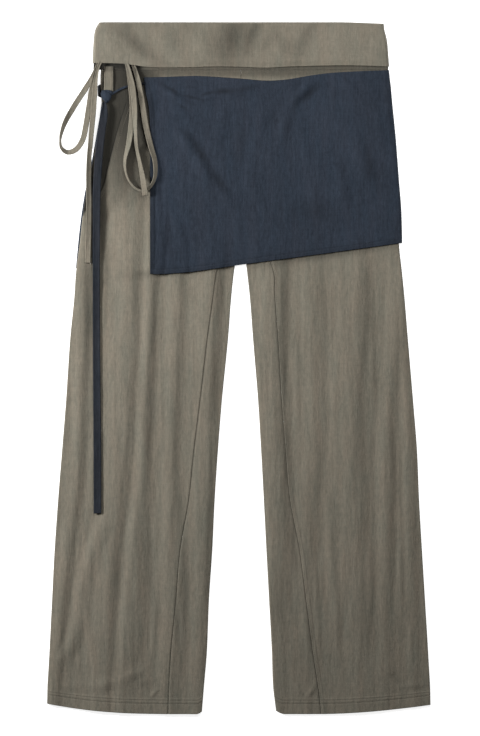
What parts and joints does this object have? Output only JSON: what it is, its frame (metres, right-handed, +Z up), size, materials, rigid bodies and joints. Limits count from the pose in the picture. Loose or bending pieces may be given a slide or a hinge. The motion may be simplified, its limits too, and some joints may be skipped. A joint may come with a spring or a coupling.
{
  "type": "wide-leg trousers",
  "caption": "Wide-leg cotton trousers laid flat on their back, with a fold-over waistband, a dark wrap apron over the hips, and cloth ties knotted at the side",
  "frame": {"origin": "middle of the outline, on the surface the trousers lie on", "axes": "+X towards the wearer's left leg, +Y towards the waist, +Z up from the surface"},
  "size_m": [0.5944, 1.072, 0.0139],
  "materials": {
    "taupe_cotton": "crinkled matt cotton, greyish brown",
    "navy_cotton": "matt slubbed cotton, dark blue-grey"
  },
  "bodies": {
    "root": {"back_right": "taupe_cotton", "back_left": "taupe_cotton", "front_right": "taupe_cotton", "front_left": "taupe_cotton", "pocket_piece": "taupe_cotton", "apron_front": "navy_cotton", "apron_back": "navy_cotton", "band_front": "taupe_cotton", "band_back": "taupe_cotton", "side_loop": "taupe_cotton", "apron_knot": "navy_cotton", "apron_tie_front": "navy_cotton", "apron_tie_back": "navy_cotton", "apron_tie_tail": "navy_cotton", "drawstring_knot": "taupe_cotton", "drawstring_loop_right": "taupe_cotton", "drawstring_tail_right": "taupe_cotton", "drawstring_loop_left": "taupe_cotton", "drawstring_tail_left": "taupe_cotton"}
  },
  "joints": []
}
